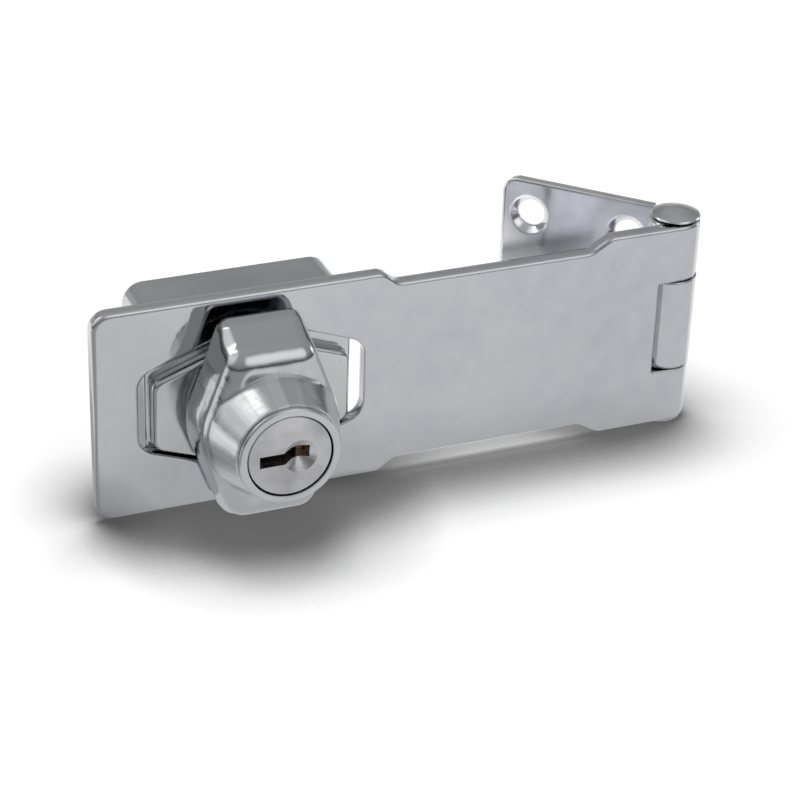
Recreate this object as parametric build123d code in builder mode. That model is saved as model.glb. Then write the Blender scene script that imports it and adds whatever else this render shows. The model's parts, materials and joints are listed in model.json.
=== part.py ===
from build123d import *
from math import cos, hypot, radians, sin, tan
import os

os.makedirs("parts", exist_ok=True)

# Keyed turning-knob hasp, in millimetres. The wall is the plane Y = 0, the front is -Y and up is +Z.
# The knob turns on the Y axis. A depth is a distance in front of the wall.

# Base box and the boss that the strap's slot fits over
BASE_SIZE = 36.9
BASE_DEPTH = 12.13
BASE_CORNER = 3.6
BASE_WALL = 2.0
BASE_EDGE = 0.5
BOSS_RADIUS = 12.0
BOSS_REACH = 17.5
BOSS_CORNER = 2.3
BOSS_ROUND = 0.9
SCREW_SPACING = 28.4
SCREW_RADIUS = 1.9
SCREW_HEAD_RADIUS = 3.4
POST_RADIUS = 3.6

# Strap
STRAP_THICKNESS = 2.3
STRAP_LIFT = 1.2
STRAP_LEFT = -27.8
STRAP_HALF = 19.5
STRAP_WAIST_HALF = 17.25
STRAP_HINGE_HALF = 19.66
STRAP_CORNER = 3.2
STRAP_EDGE = 0.7
WAIST_START = (23.4, 26.2)
WAIST_END = (62.4, 66.4)
WAIST_BEND = 2.6
SLOT_RADIUS = 13.55
SLOT_REACH = 20.2
SLOT_CORNER = 3.6

# Hinge
HINGE_X = 80.95
BARREL_RADIUS = 4.55
PIN_RADIUS = BARREL_RADIUS - STRAP_THICKNESS
HINGE_DEPTH = BASE_DEPTH + STRAP_THICKNESS - BARREL_RADIUS
SEAM_GAP = 0.4
NOTCH_LEFT = 76.3
NOTCH_LOW = -7.85
NOTCH_HIGH = 10.2
NOTCH_CORNER = 0.3
PIN_HEAD_RADIUS = 4.45
PIN_HEAD_LOW = 21.2
PIN_HEAD_RIM = 0.5
PIN_HEAD_DOME = 0.95
PIN_CHAMFER = 0.2
PIN_FOOT_RADIUS = 4.1
PIN_FOOT_THICKNESS = 0.75

# Leaf, stored swung back behind the strap
LEAF_ANGLE = 45.4
LEAF_THICKNESS = 1.7
LEAF_LENGTH = 34.0
LEAF_TOP = 20.5
LEAF_HEIGHT = 39.4
LEAF_CORNER = 2.8
LEAF_SHOULDER = 5.1
KNUCKLE_RADIUS = 4.7
KNUCKLE_LOW = -7.5
KNUCKLE_HIGH = 9.9
RUNNING_GAP = 0.05
LEAF_HOLE_RADIUS = 2.55
LEAF_SINK_RADIUS = 3.7
LEAF_HOLE_NEAR = 9.8
LEAF_HOLE_FAR = 28.7
LEAF_HOLE_SPACING = 25.8

# Knob
WING_TAPER = 20.0
WING_DRAFT = 6.0
KNOB_RADIUS = 12.75
KNOB_REACH = 18.4
KNOB_CORNER = 2.6
WING_BACK = 17.08
TIP_DEPTH = 19.5
SHELF_DEPTH = 26.4
CREST_REACH = 15.6
CREST_ROUND = 4.0
RIDGE_ROUND = 3.5
WING_HOLLOW = 0.7
HUB_RADIUS = 11.65
HUB_CLIP = 12.8
CONE_BACK_RADIUS = 11.6
CONE_BACK_DEPTH = 25.4
CONE_FRONT_RADIUS = 9.0
CONE_FRONT_DEPTH = 32.7
SPINDLE_RADIUS = 10.1
SPINDLE_FLAT = 8.9
SPINDLE_END = 7.4
SEAT_GAP = 0.1

# Key cylinder
RIM_DEPTH = 33.57
RIM_CHAMFER = 0.25
SLEEVE_RADIUS = 8.2
SLEEVE_RIM_RADIUS = 8.85
SLEEVE_BACK = 15.1
PLUG_FACE_DEPTH = 33.35
PLUG_FACE_RADIUS = 7.3
PLUG_CHAMFER = 0.15
PLUG_FACE_BACK = 31.6
PLUG_RADIUS = 6.2
PLUG_NECK_RADIUS = 4.6
PLUG_HEAD_RADIUS = 5.4
PLUG_END = 13.7
FACE_GAP = 0.2
KEYWAY_BACK = 16.4
DIMPLE_X = 1.75
DIMPLE_Z = -0.3
DIMPLE_RADIUS = 3.0
DIMPLE_BOTTOM_RADIUS = 0.4
DIMPLE_DEPTH = 1.5
WAFER_DEPTHS = (29.3, 26.6, 23.9, 21.2, 18.5)
WAFER_WINDOW_ENDS = (2.2, 3.0, 2.6, 3.3, 2.4)
WAFER_THICKNESS = 1.0
WAFER_HALF = 2.65
WAFER_GAP = 0.05
WINDOW_START = -5.45
WINDOW_LOW = -1.6
WINDOW_HIGH = 1.4
LUG_START = 0.9
LUG_END = 2.1
LUG_TOP = 4.05
LUG_PLAY = 1.0
SPRING_START = -2.2
SPRING_Z = 3.35
COIL_RADIUS = 0.4
COIL_WIRE = 0.12
COIL_PITCH = 0.75
CHANNEL_HALF = 3.0
CHANNEL_REACH = 7.1
CHANNEL_MARGIN = 1.2
CLIP_BACK = 14.15
CLIP_THICKNESS = 0.8
CLIP_RADIUS = 6.7
CROSS_PIN_DEPTH = 16.2
CROSS_PIN_START = 6.9
CROSS_PIN_LENGTH = 5.0
CROSS_PIN_RADIUS = 0.8

# Locking bolt, moved by a pin on the plug that stands off its axis
BOLT_BACK = 10.5
BOLT_FRONT = 13.3
BOLT_HALF = 2.5
BOLT_TAIL = -3.6
BOLT_TIP = 9.0
BOLT_TRAVEL = 2.0
BOLT_NOTCH_REACH = 11.3
BOLT_CORNER = 0.6
BOLT_PLAY = 0.1
BOLT_GAP = 0.3
DRIVE_RADIUS = 1.0
DRIVE_END = 10.9
DRIVE_GAP = 0.15
DRIVE_SLOT_TOP = 0.3
POCKET_RADIUS = 7.1

# Rings behind the base's front wall
WASHER_THICKNESS = 0.5
WASHER_RADIUS = 12.0
STOP_FRONT = 9.58
STOP_THICKNESS = 1.0
STOP_RADIUS = 13.4
STOP_RIB_HALF = 1.5
STOP_RIB_LOW = 12.3
STOP_NOTCH_RADIUS = 12.0
STOP_NOTCH_SLACK = 8.5
RING_FRONT = 8.5
RING_THICKNESS = 0.55
RING_RADIUS = 10.9
RING_GROOVE_RADIUS = 9.3
RING_OPENING = 4.0
RING_PLAY = 0.03


def front(depth):
    """The plane at this depth that faces the viewer, with x to the right and y up."""
    return Plane(origin=(0, -depth, 0), x_dir=(1, 0, 0), z_dir=(0, -1, 0))


def lying(depth):
    """The same plane with y along the strap instead of up."""
    return Plane(origin=(0, -depth, 0), x_dir=(0, 0, -1), z_dir=(0, -1, 0))


def winged_disc(radius, reach, corner):
    """A disc with two wings along y whose straight sides leave the disc at a tangent."""
    side = radius * cos(radians(WING_TAPER))
    start = radius * sin(radians(WING_TAPER))
    tip = side - (reach - start) * tan(radians(WING_TAPER))
    with BuildSketch() as outline:
        Circle(radius)
        Polygon(
            (side, start),
            (tip, reach),
            (-tip, reach),
            (-side, start),
            (-side, -start),
            (-tip, -reach),
            (tip, -reach),
            (side, -start),
            align=None,
        )
        ends = outline.vertices().filter_by(lambda v: abs(v.Y) > reach - 0.01)
        fillet(ends, corner)
    return outline.sketch


def turned(*points):
    """A half profile of radius and depth pairs, to be turned about the knob's axis."""
    with BuildSketch() as profile:
        Polygon(*[(radius, -depth) for radius, depth in points], align=None)
    return profile.sketch


def flatted_disc(radius, flat):
    """A disc with a flat on its left and right."""
    with BuildSketch() as outline:
        Circle(radius)
        Rectangle(2 * flat, 2 * radius, mode=Mode.INTERSECT)
    return outline.sketch


def keyway():
    """The stepped slot for the key, seen from the front."""
    with BuildSketch() as slot:
        Polygon(
            (-5.26, -1.45),
            (-0.7, -1.45),
            (0.6, -1.05),
            (3.55, -1.05),
            (3.55, 1.25),
            (0.3, 1.25),
            (-1.0, 0.65),
            (-5.26, 0.65),
            align=None,
        )
    return slot.sketch


strap_face = BASE_DEPTH + STRAP_THICKNESS

# Base housing: a box open at the wall, with a screw post in each corner
with BuildPart() as base_housing:
    with BuildSketch(front(0)):
        RectangleRounded(BASE_SIZE, BASE_SIZE, BASE_CORNER)
    extrude(amount=BASE_DEPTH)
    fillet(base_housing.edges().group_by(Axis.Y)[0], BASE_EDGE)
    with BuildSketch(lying(BASE_DEPTH)):
        add(winged_disc(BOSS_RADIUS, BOSS_REACH, BOSS_CORNER))
    extrude(amount=STRAP_THICKNESS)
    fillet(base_housing.edges().group_by(Axis.Y)[0], BOSS_ROUND)
    inside = BASE_SIZE - 2 * BASE_WALL
    with BuildSketch(front(0)):
        RectangleRounded(inside, inside, BASE_CORNER - BASE_WALL)
    extrude(amount=BASE_DEPTH - BASE_WALL, mode=Mode.SUBTRACT)
    with BuildSketch(front(0)):
        with GridLocations(SCREW_SPACING, SCREW_SPACING, 2, 2):
            Circle(POST_RADIUS)
        with Locations((0, STOP_RIB_LOW)):
            Rectangle(2 * STOP_RIB_HALF, inside / 2, align=(Align.CENTER, Align.MIN))
        Rectangle(inside + BASE_WALL, inside + BASE_WALL, mode=Mode.INTERSECT)
    extrude(amount=BASE_DEPTH - BASE_WALL)
    with BuildSketch(front(0)):
        Circle(SPINDLE_RADIUS + 2 * RUNNING_GAP)
    extrude(amount=strap_face, mode=Mode.SUBTRACT)
    with BuildSketch(front(BASE_DEPTH - BASE_WALL)):
        with Locations(Location((0, 0), 0), Location((0, 0), -90)):
            Rectangle(BOLT_NOTCH_REACH, 2 * (BOLT_HALF + BOLT_GAP), align=(Align.MIN, Align.CENTER))
    extrude(amount=BOLT_FRONT + BOLT_GAP - BASE_DEPTH + BASE_WALL, mode=Mode.SUBTRACT)
    with Locations(front(BASE_DEPTH)):
        with GridLocations(SCREW_SPACING, SCREW_SPACING, 2, 2):
            CounterSinkHole(SCREW_RADIUS, SCREW_HEAD_RADIUS)

# Strap: flat plate, then the curled barrel, then the notch for the leaf's knuckle
with BuildPart() as strap:
    strap_plane = Plane(origin=(0, -BASE_DEPTH, STRAP_LIFT), x_dir=(1, 0, 0), z_dir=(0, -1, 0))
    with BuildSketch(strap_plane) as plate:
        with BuildLine():
            upper = Polyline(
                (HINGE_X, 0),
                (HINGE_X, STRAP_HINGE_HALF),
                (WAIST_END[1], STRAP_HINGE_HALF),
                (WAIST_END[0], STRAP_WAIST_HALF),
                (WAIST_START[1], STRAP_WAIST_HALF),
                (WAIST_START[0], STRAP_HALF),
                (STRAP_LEFT, STRAP_HALF),
                (STRAP_LEFT, 0),
            )
            mirror(upper, about=Plane.XZ)
        make_face()
        bends = plate.vertices().filter_by_position(Axis.X, 0, HINGE_X - 1)
        fillet(bends, WAIST_BEND)
        fillet(plate.vertices().group_by(Axis.X)[0], STRAP_CORNER)
    extrude(amount=STRAP_THICKNESS)
    with BuildSketch(Plane.XY.offset(STRAP_LIFT - STRAP_HINGE_HALF)):
        with Locations((HINGE_X, -HINGE_DEPTH)):
            Circle(BARREL_RADIUS)
            Circle(PIN_RADIUS, mode=Mode.SUBTRACT)
        with Locations((HINGE_X - BARREL_RADIUS, -BASE_DEPTH)):
            Rectangle(BARREL_RADIUS, SEAM_GAP, align=(Align.MIN, Align.MIN), mode=Mode.SUBTRACT)
    extrude(amount=2 * STRAP_HINGE_HALF)
    face_edges = strap.edges().filter_by_position(Axis.Y, -strap_face - 0.01, -strap_face + 0.01)
    rim = face_edges.filter_by_position(Axis.X, STRAP_LEFT - 1, HINGE_X - 0.5)
    fillet(rim, STRAP_EDGE)
    with BuildSketch(strap_plane):
        with Locations(Location((0, 0), 90)):
            add(winged_disc(SLOT_RADIUS, SLOT_REACH, SLOT_CORNER))
    extrude(amount=STRAP_THICKNESS, mode=Mode.SUBTRACT)
    with BuildSketch(front(0)) as notch:
        notch_length = HINGE_X + 2 * BARREL_RADIUS - NOTCH_LEFT
        with Locations((NOTCH_LEFT, NOTCH_LOW)):
            Rectangle(notch_length, NOTCH_HIGH - NOTCH_LOW, align=(Align.MIN, Align.MIN))
        fillet(notch.vertices().group_by(Axis.X)[0], NOTCH_CORNER)
    extrude(amount=strap_face, mode=Mode.SUBTRACT)

# Hinge pin: domed head above, peened foot below
with BuildPart() as hinge_pin:
    foot_top = STRAP_LIFT - STRAP_HINGE_HALF
    dome_start = (PIN_HEAD_RADIUS - PIN_CHAMFER, PIN_HEAD_LOW + PIN_HEAD_RIM)
    dome_top = (0, PIN_HEAD_LOW + PIN_HEAD_RIM + PIN_HEAD_DOME)
    dome_radius = (dome_start[0] ** 2 + PIN_HEAD_DOME**2) / (2 * PIN_HEAD_DOME)
    with BuildSketch(Plane.XZ):
        with BuildLine():
            Polyline(
                (0, foot_top - PIN_FOOT_THICKNESS),
                (PIN_FOOT_RADIUS - 2 * PIN_CHAMFER, foot_top - PIN_FOOT_THICKNESS),
                (PIN_FOOT_RADIUS, foot_top - PIN_FOOT_THICKNESS / 2),
                (PIN_FOOT_RADIUS, foot_top),
                (PIN_RADIUS, foot_top),
                (PIN_RADIUS, PIN_HEAD_LOW),
                (PIN_HEAD_RADIUS - PIN_CHAMFER, PIN_HEAD_LOW),
                (PIN_HEAD_RADIUS, PIN_HEAD_LOW + PIN_HEAD_RIM / 2),
                dome_start,
            )
            RadiusArc(dome_start, dome_top, -dome_radius)
            Line(dome_top, (0, foot_top - PIN_FOOT_THICKNESS))
        make_face()
    revolve(axis=Axis.Z)
hinge_pin.part.position = (HINGE_X, -HINGE_DEPTH, 0)

# Leaf: plate with a countersunk hole near each corner, and one knuckle on the pin
along = (-cos(radians(LEAF_ANGLE)), sin(radians(LEAF_ANGLE)), 0)
outward = (sin(radians(LEAF_ANGLE)), cos(radians(LEAF_ANGLE)), 0)
leaf_front = KNUCKLE_RADIUS - LEAF_THICKNESS
leaf_middle = LEAF_TOP - LEAF_HEIGHT / 2
leaf_origin = (HINGE_X + outward[0] * leaf_front, -HINGE_DEPTH + outward[1] * leaf_front, leaf_middle)
with BuildPart() as hinge_leaf:
    leaf_plane = Plane(origin=leaf_origin, x_dir=along, z_dir=outward)
    with BuildSketch(leaf_plane) as leaf_shape:
        with Locations((LEAF_SHOULDER, 0)):
            Rectangle(LEAF_LENGTH - LEAF_SHOULDER, LEAF_HEIGHT, align=(Align.MIN, Align.CENTER))
        fillet(leaf_shape.vertices().group_by(Axis.X)[-1], LEAF_CORNER)
        with Locations((0, KNUCKLE_LOW - leaf_middle)):
            Rectangle(LEAF_SHOULDER + 1, KNUCKLE_HIGH - KNUCKLE_LOW, align=(Align.MIN, Align.MIN))
    extrude(amount=LEAF_THICKNESS)
    with BuildSketch(Plane.XY.offset(KNUCKLE_LOW)):
        with Locations((HINGE_X, -HINGE_DEPTH)):
            Circle(KNUCKLE_RADIUS)
            Circle(PIN_RADIUS + RUNNING_GAP, mode=Mode.SUBTRACT)
    extrude(amount=KNUCKLE_HIGH - KNUCKLE_LOW)
    sink_plane = Plane(origin=leaf_origin, x_dir=along, z_dir=(-outward[0], -outward[1], 0))
    with Locations(sink_plane):
        with Locations(((LEAF_HOLE_NEAR + LEAF_HOLE_FAR) / 2, 0)):
            with GridLocations(LEAF_HOLE_FAR - LEAF_HOLE_NEAR, LEAF_HOLE_SPACING, 2, 2):
                CounterSinkHole(LEAF_HOLE_RADIUS, LEAF_SINK_RADIUS)

# Knob: winged block with rounded ridges, cone for the key cylinder, hub and spindle
with BuildPart() as knob_body:
    run = KNOB_REACH - CREST_REACH
    rise = SHELF_DEPTH - TIP_DEPTH
    slant = hypot(run, rise)
    hollow_middle = (
        -(TIP_DEPTH + SHELF_DEPTH) / 2 + WING_HOLLOW * run / slant,
        (KNOB_REACH + CREST_REACH) / 2 - WING_HOLLOW * rise / slant,
    )
    with BuildSketch(front(WING_BACK)):
        add(winged_disc(KNOB_RADIUS, KNOB_REACH, KNOB_CORNER))
    extrude(amount=SHELF_DEPTH - WING_BACK, taper=WING_DRAFT)
    with BuildSketch(Plane.YZ) as side_view:
        with BuildLine():
            Polyline((-WING_BACK, 0), (-WING_BACK, KNOB_REACH), (-TIP_DEPTH, KNOB_REACH))
            ThreePointArc((-TIP_DEPTH, KNOB_REACH), hollow_middle, (-SHELF_DEPTH, CREST_REACH))
            Line((-SHELF_DEPTH, CREST_REACH), (-SHELF_DEPTH, 0))
            mirror(about=Plane.XZ)
        make_face()
        crests = side_view.vertices().filter_by(lambda v: abs(abs(v.Y) - CREST_REACH) < 0.01)
        fillet(crests, CREST_ROUND)
    extrude(amount=KNOB_RADIUS + 1, both=True, mode=Mode.INTERSECT)
    front_edges = knob_body.edges().filter_by(lambda e: e.center().Y < -TIP_DEPTH)
    fillet(front_edges.filter_by(Axis.X, reverse=True), RIDGE_ROUND)
    with BuildSketch(front(strap_face)):
        add(winged_disc(HUB_RADIUS, KNOB_REACH, KNOB_CORNER))
        Circle(HUB_CLIP, mode=Mode.INTERSECT)
    extrude(amount=WING_BACK - strap_face)
    body_profile = turned(
        (0, STOP_FRONT + SEAT_GAP),
        (SPINDLE_RADIUS, STOP_FRONT + SEAT_GAP),
        (SPINDLE_RADIUS, CONE_BACK_DEPTH - 1),
        (CONE_BACK_RADIUS, CONE_BACK_DEPTH - 1),
        (CONE_BACK_RADIUS, CONE_BACK_DEPTH),
        (CONE_FRONT_RADIUS, CONE_FRONT_DEPTH),
        (0, CONE_FRONT_DEPTH),
    )
    revolve(body_profile, axis=Axis.Y)
    with BuildSketch(front(SPINDLE_END)):
        add(flatted_disc(SPINDLE_RADIUS, SPINDLE_FLAT))
    extrude(amount=STOP_FRONT + SEAT_GAP - SPINDLE_END)
    with BuildSketch(front(RING_FRONT - RING_THICKNESS - RING_PLAY)):
        Circle(SPINDLE_RADIUS + 1)
        Circle(RING_GROOVE_RADIUS, mode=Mode.SUBTRACT)
    extrude(amount=RING_THICKNESS + 2 * RING_PLAY, mode=Mode.SUBTRACT)
    bore_profile = turned(
        (0, BOLT_FRONT + 2 * BOLT_PLAY),
        (POCKET_RADIUS, BOLT_FRONT + 2 * BOLT_PLAY),
        (POCKET_RADIUS, SLEEVE_BACK),
        (SLEEVE_RADIUS, SLEEVE_BACK),
        (SLEEVE_RADIUS, CONE_FRONT_DEPTH),
        (0, CONE_FRONT_DEPTH),
    )
    revolve(bore_profile, axis=Axis.Y, mode=Mode.SUBTRACT)
    with BuildSketch(front(BOLT_BACK - BOLT_PLAY)):
        with Locations((BOLT_TAIL - BOLT_GAP, 0)):
            Rectangle(2 * SPINDLE_RADIUS, 2 * (BOLT_HALF + BOLT_PLAY), align=(Align.MIN, Align.CENTER))
    extrude(amount=BOLT_FRONT - BOLT_BACK + 3 * BOLT_PLAY, mode=Mode.SUBTRACT)
    with BuildSketch(Plane.XY.offset(CROSS_PIN_START)):
        with Locations((0, -CROSS_PIN_DEPTH)):
            Circle(CROSS_PIN_RADIUS)
    extrude(amount=KNOB_RADIUS, mode=Mode.SUBTRACT)

# Sleeve of the key cylinder, with a channel on each side for the wafers' ends
with BuildPart() as cylinder_sleeve:
    sleeve_profile = turned(
        (PLUG_RADIUS + RUNNING_GAP, SLEEVE_BACK),
        (SLEEVE_RADIUS, SLEEVE_BACK),
        (SLEEVE_RADIUS, CONE_FRONT_DEPTH),
        (SLEEVE_RIM_RADIUS, CONE_FRONT_DEPTH),
        (SLEEVE_RIM_RADIUS, RIM_DEPTH - RIM_CHAMFER),
        (SLEEVE_RIM_RADIUS - RIM_CHAMFER, RIM_DEPTH),
        (PLUG_FACE_RADIUS + FACE_GAP, RIM_DEPTH),
        (PLUG_FACE_RADIUS + FACE_GAP, PLUG_FACE_BACK - RUNNING_GAP),
        (PLUG_RADIUS + RUNNING_GAP, PLUG_FACE_BACK - RUNNING_GAP),
    )
    revolve(sleeve_profile, axis=Axis.Y)
    with BuildSketch(front(WAFER_DEPTHS[-1] - CHANNEL_MARGIN)):
        Rectangle(2 * CHANNEL_REACH, 2 * CHANNEL_HALF)
    extrude(amount=WAFER_DEPTHS[0] - WAFER_DEPTHS[-1] + 2 * CHANNEL_MARGIN, mode=Mode.SUBTRACT)
    with BuildSketch(Plane.XY.offset(CROSS_PIN_START)):
        with Locations((0, -CROSS_PIN_DEPTH)):
            Circle(CROSS_PIN_RADIUS)
    extrude(amount=KNOB_RADIUS, mode=Mode.SUBTRACT)

# Cross pin that holds the sleeve in the knob, driven in under a wing
with BuildPart() as cylinder_pin:
    with BuildSketch(Plane.XY.offset(CROSS_PIN_START)):
        with Locations((0, -CROSS_PIN_DEPTH)):
            Circle(CROSS_PIN_RADIUS)
    extrude(amount=CROSS_PIN_LENGTH)

# Plug: face, barrel, neck for the clip, head and the drive pin off its axis
with BuildPart() as lock_plug:
    plug_profile = turned(
        (0, PLUG_END),
        (PLUG_HEAD_RADIUS, PLUG_END),
        (PLUG_HEAD_RADIUS, CLIP_BACK - RUNNING_GAP),
        (PLUG_NECK_RADIUS, CLIP_BACK - RUNNING_GAP),
        (PLUG_NECK_RADIUS, SLEEVE_BACK),
        (PLUG_RADIUS, SLEEVE_BACK),
        (PLUG_RADIUS, PLUG_FACE_BACK),
        (PLUG_FACE_RADIUS, PLUG_FACE_BACK),
        (PLUG_FACE_RADIUS, PLUG_FACE_DEPTH - PLUG_CHAMFER),
        (PLUG_FACE_RADIUS - PLUG_CHAMFER, PLUG_FACE_DEPTH),
        (0, PLUG_FACE_DEPTH),
    )
    revolve(plug_profile, axis=Axis.Y)
    with BuildSketch(front(DRIVE_END)):
        with Locations((-BOLT_TRAVEL / 2, -BOLT_TRAVEL / 2)):
            Circle(DRIVE_RADIUS)
    extrude(amount=PLUG_END - DRIVE_END)
    lug_room = LUG_END + LUG_PLAY - SPRING_START
    for wafer_depth in WAFER_DEPTHS:
        with BuildSketch(front(wafer_depth - WAFER_THICKNESS / 2 - WAFER_GAP)):
            Rectangle(2 * PLUG_FACE_RADIUS, 2 * (WAFER_HALF + WAFER_GAP))
            with Locations((SPRING_START - WAFER_GAP, 0)):
                Rectangle(lug_room, LUG_TOP + WAFER_GAP, align=(Align.MIN, Align.MIN))
        extrude(amount=WAFER_THICKNESS + 2 * WAFER_GAP, mode=Mode.SUBTRACT)
    with BuildSketch(front(KEYWAY_BACK)):
        add(keyway())
    extrude(amount=PLUG_FACE_DEPTH - KEYWAY_BACK, mode=Mode.SUBTRACT)
    with Locations(front(PLUG_FACE_DEPTH - DIMPLE_DEPTH / 2)):
        with Locations((DIMPLE_X, DIMPLE_Z)):
            Cone(DIMPLE_BOTTOM_RADIUS, DIMPLE_RADIUS, DIMPLE_DEPTH, mode=Mode.SUBTRACT)

# Horseshoe clip behind the sleeve, in the plug's neck
with BuildPart() as plug_clip:
    with BuildSketch(front(CLIP_BACK)):
        Circle(CLIP_RADIUS)
        Circle(PLUG_NECK_RADIUS + RUNNING_GAP, mode=Mode.SUBTRACT)
        with Locations((0, -CLIP_RADIUS)):
            Rectangle(2 * PLUG_NECK_RADIUS - 1, 2 * CLIP_RADIUS, mode=Mode.SUBTRACT)
    extrude(amount=CLIP_THICKNESS)

# Wafers: each is a plate round the keyway with a lug for its spring
wafers = []
for wafer_depth, window_end in zip(WAFER_DEPTHS, WAFER_WINDOW_ENDS):
    with BuildPart() as wafer:
        with BuildSketch(front(wafer_depth - WAFER_THICKNESS / 2)):
            Circle(PLUG_RADIUS - WAFER_GAP)
            Rectangle(2 * PLUG_RADIUS, 2 * WAFER_HALF, mode=Mode.INTERSECT)
            with Locations((LUG_START, 0)):
                Rectangle(LUG_END - LUG_START, LUG_TOP, align=(Align.MIN, Align.MIN))
            with Locations(((WINDOW_START + window_end) / 2, (WINDOW_LOW + WINDOW_HIGH) / 2)):
                Rectangle(window_end - WINDOW_START, WINDOW_HIGH - WINDOW_LOW, mode=Mode.SUBTRACT)
        extrude(amount=WAFER_THICKNESS)
    wafers.append(wafer)

# One coil spring per wafer, lying beside it in the plug
with BuildPart() as wafer_springs:
    for wafer_depth in WAFER_DEPTHS:
        with BuildLine():
            coil = Helix(
                pitch=COIL_PITCH,
                height=LUG_START - SPRING_START - COIL_WIRE,
                radius=COIL_RADIUS,
                center=(SPRING_START, -wafer_depth, SPRING_Z),
                direction=(1, 0, 0),
            )
        with BuildSketch(Plane(origin=coil @ 0, z_dir=coil % 0)):
            Circle(COIL_WIRE)
        sweep(path=coil)

# Locking bolt with the slot that the plug's drive pin runs in
with BuildPart() as locking_bolt:
    with BuildSketch(front(BOLT_BACK)) as bolt_shape:
        with Locations((BOLT_TAIL, 0)):
            Rectangle(BOLT_TIP - BOLT_TAIL, 2 * BOLT_HALF, align=(Align.MIN, Align.CENTER))
        fillet(bolt_shape.vertices().group_by(Axis.X)[-1], BOLT_CORNER)
        with Locations((-BOLT_TRAVEL / 2, DRIVE_SLOT_TOP - BOLT_HALF)):
            Rectangle(2 * (DRIVE_RADIUS + DRIVE_GAP), 2 * BOLT_HALF, mode=Mode.SUBTRACT)
    extrude(amount=BOLT_FRONT - BOLT_BACK)

# Friction washer, stop washer and snap ring on the spindle behind the base's front wall
with BuildPart() as friction_washer:
    with BuildSketch(front(BASE_DEPTH - BASE_WALL - WASHER_THICKNESS)):
        Circle(WASHER_RADIUS)
        Circle(SPINDLE_RADIUS + 2 * RUNNING_GAP, mode=Mode.SUBTRACT)
    extrude(amount=WASHER_THICKNESS)
with BuildPart() as stop_washer:
    with BuildSketch(front(STOP_FRONT - STOP_THICKNESS)):
        Circle(STOP_RADIUS)
        with BuildLine():
            low = PolarLine((0, 0), 2 * STOP_RADIUS, 90 - STOP_NOTCH_SLACK)
            high = PolarLine((0, 0), 2 * STOP_RADIUS, 180 + STOP_NOTCH_SLACK)
            corner = (-3 * STOP_RADIUS, 3 * STOP_RADIUS)
            Polyline(low @ 1, corner, high @ 1)
        make_face(mode=Mode.SUBTRACT)
        Circle(STOP_NOTCH_RADIUS)
        add(flatted_disc(SPINDLE_RADIUS, SPINDLE_FLAT), mode=Mode.SUBTRACT)
    extrude(amount=STOP_THICKNESS)
with BuildPart() as retaining_ring:
    with BuildSketch(front(RING_FRONT - RING_THICKNESS)):
        Circle(RING_RADIUS)
        Circle(RING_GROOVE_RADIUS, mode=Mode.SUBTRACT)
        with Locations((0, -RING_RADIUS)):
            Rectangle(RING_OPENING, RING_RADIUS, mode=Mode.SUBTRACT)
    extrude(amount=RING_THICKNESS)

pieces = {
    "base_housing": base_housing,
    "strap": strap,
    "hinge_pin": hinge_pin,
    "hinge_leaf": hinge_leaf,
    "knob_body": knob_body,
    "cylinder_sleeve": cylinder_sleeve,
    "cylinder_pin": cylinder_pin,
    "lock_plug": lock_plug,
    "plug_clip": plug_clip,
    "wafer_springs": wafer_springs,
    "locking_bolt": locking_bolt,
    "friction_washer": friction_washer,
    "stop_washer": stop_washer,
    "retaining_ring": retaining_ring,
}
for number, wafer in enumerate(wafers, start=1):
    pieces[f"wafer_{number}"] = wafer
for name, piece in pieces.items():
    piece.part.label = name
    export_step(piece.part, f"parts/{name}.step")
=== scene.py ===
# %% [markdown]
# This scene dresses a keyed door hasp: a long plated strap on a hinge, a base box, and a turning
# knob with a key cylinder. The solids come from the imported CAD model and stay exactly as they
# are. What is left for Blender is the part that a solid can't carry, which is how plated metal
# looks.

import json
import math

import bpy
from mathutils import Matrix, Vector

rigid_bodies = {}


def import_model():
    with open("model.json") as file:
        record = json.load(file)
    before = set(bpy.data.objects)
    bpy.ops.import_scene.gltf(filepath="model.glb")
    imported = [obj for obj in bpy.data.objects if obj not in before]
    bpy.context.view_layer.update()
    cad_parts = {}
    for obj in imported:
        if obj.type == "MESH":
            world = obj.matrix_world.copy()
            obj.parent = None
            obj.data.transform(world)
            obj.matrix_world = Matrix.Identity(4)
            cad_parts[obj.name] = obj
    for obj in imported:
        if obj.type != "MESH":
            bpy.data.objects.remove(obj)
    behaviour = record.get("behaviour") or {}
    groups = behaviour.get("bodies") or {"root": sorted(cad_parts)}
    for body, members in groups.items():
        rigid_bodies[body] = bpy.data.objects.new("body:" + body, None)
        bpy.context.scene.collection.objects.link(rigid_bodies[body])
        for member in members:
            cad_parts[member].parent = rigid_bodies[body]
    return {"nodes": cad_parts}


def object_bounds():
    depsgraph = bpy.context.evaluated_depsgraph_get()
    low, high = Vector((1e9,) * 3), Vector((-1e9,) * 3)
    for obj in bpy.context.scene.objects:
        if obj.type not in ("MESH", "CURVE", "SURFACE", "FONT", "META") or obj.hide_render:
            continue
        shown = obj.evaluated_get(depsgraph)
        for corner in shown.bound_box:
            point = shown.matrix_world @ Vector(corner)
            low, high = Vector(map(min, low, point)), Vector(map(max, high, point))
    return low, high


for leftover in list(bpy.data.objects):
    bpy.data.objects.remove(leftover)
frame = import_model()
nodes = frame["nodes"]
cad_low, cad_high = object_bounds()
print("solids:", len(nodes), "size in mm:", [round(1000 * side, 1) for side in cad_high - cad_low])

# %% [markdown]
# The camera comes first, because every later choice is judged through it. It stands to the left
# of the hasp and above it, with a long lens, so the strap's edges stay nearly parallel. It is
# placed by its distance and its two angles from one point on the strap, then rolled a little on
# its own axis, which is easier to adjust than a free position and a rotation.

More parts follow.
